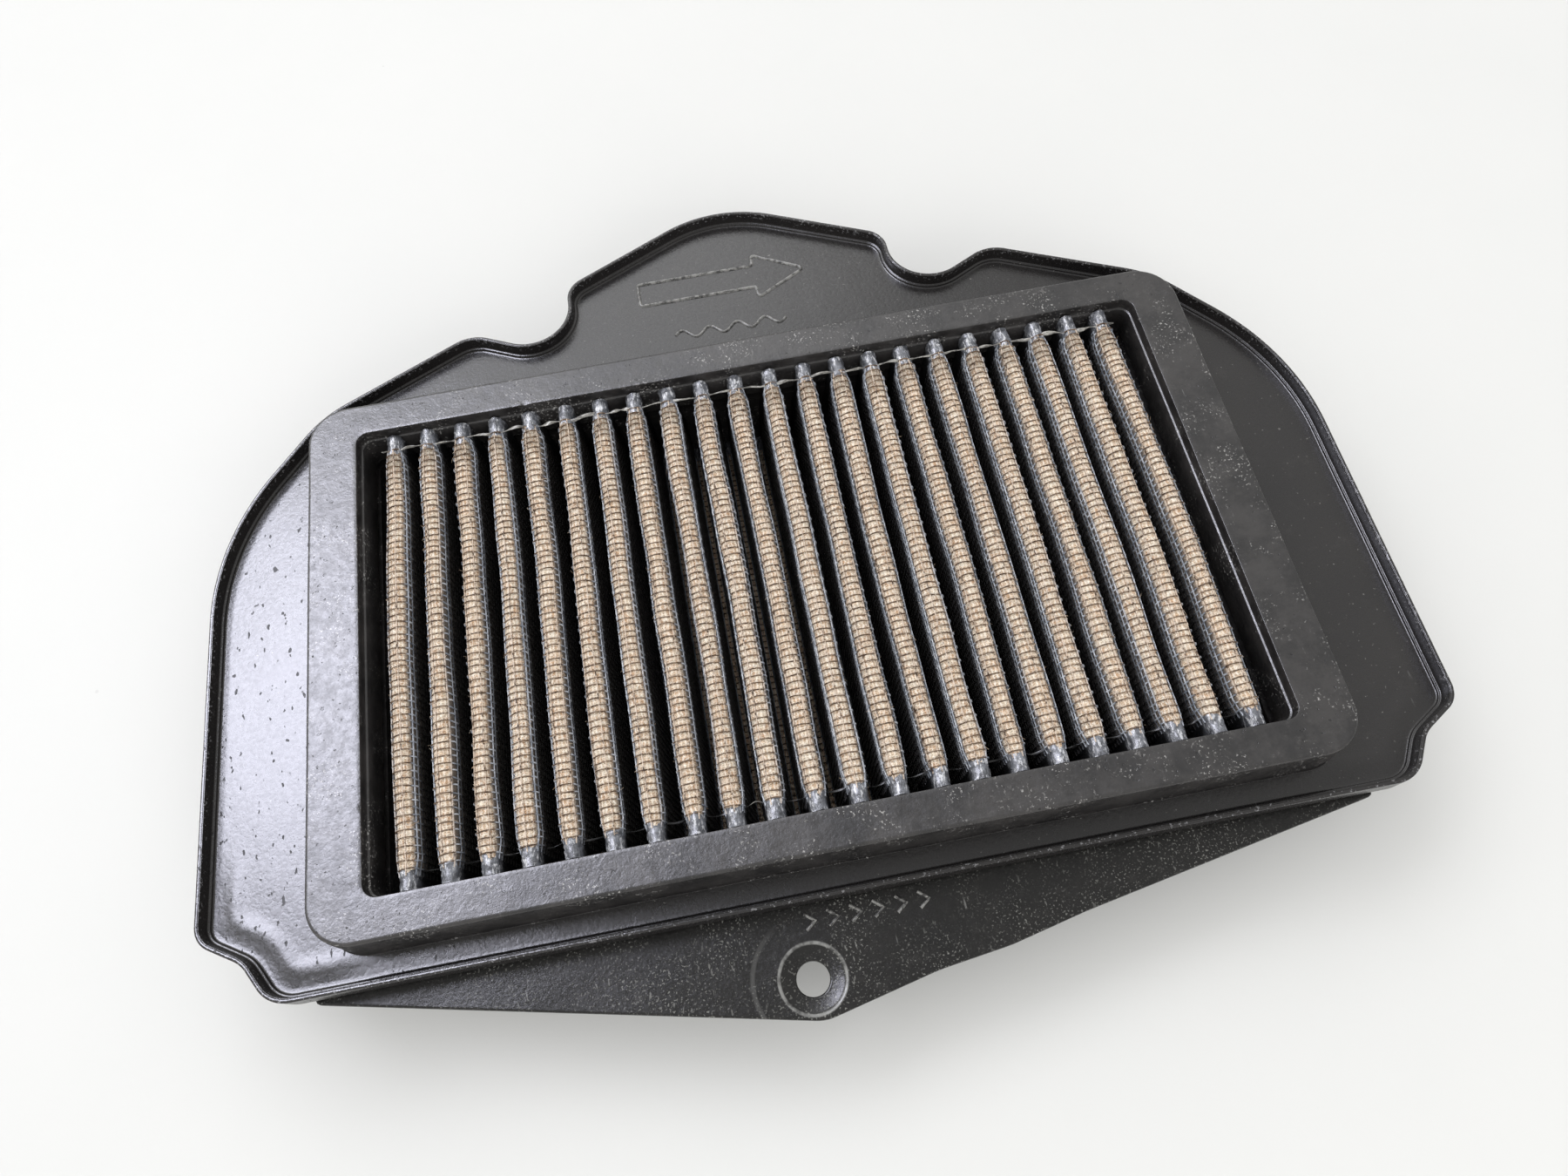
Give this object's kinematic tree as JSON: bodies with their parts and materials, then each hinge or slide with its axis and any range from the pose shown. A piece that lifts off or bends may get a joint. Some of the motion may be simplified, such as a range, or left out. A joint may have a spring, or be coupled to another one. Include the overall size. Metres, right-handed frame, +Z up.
{
  "type": "motorcycle air filter",
  "caption": "Pleated panel air filter with a rectangular media pack in a raised collar, a rimmed flange tray with a notched back tab, and a bolt-down front tab.",
  "frame": {"origin": "middle of the part's plan outline, on the face that it rests on", "axes": "+X along the row of pleats, +Y towards the wide back tab, +Z up towards the upper collar"},
  "size_m": [0.2728, 0.2092, 0.036],
  "materials": {
    "tray_moulding": "semi-gloss black moulding with fine grain",
    "collar_rubber": "matt black moulded rubber, dusty",
    "tab_moulding": "satin black, scuffed",
    "screen_wire": "coated wire, blue-grey to brown",
    "cotton_gauze": "oiled tan cotton weave",
    "seal_resin": "cloudy grey potting resin",
    "pleat_thread": "twisted pale thread"
  },
  "bodies": {
    "root": {"flange_tray": "tray_moulding", "upper_collar": "collar_rubber", "lower_collar": "collar_rubber", "tab_plate": "tab_moulding", "upper_wire_screen": "screen_wire", "gauze_layer_4": "cotton_gauze", "gauze_layer_3": "cotton_gauze", "gauze_layer_2": "cotton_gauze", "gauze_layer_1": "cotton_gauze", "lower_wire_screen": "screen_wire", "rear_end_seal": "seal_resin", "front_end_seal": "seal_resin", "left_edge_seal": "seal_resin", "right_edge_seal": "seal_resin", "rear_pleat_thread": "pleat_thread", "front_pleat_thread": "pleat_thread"}
  },
  "joints": []
}
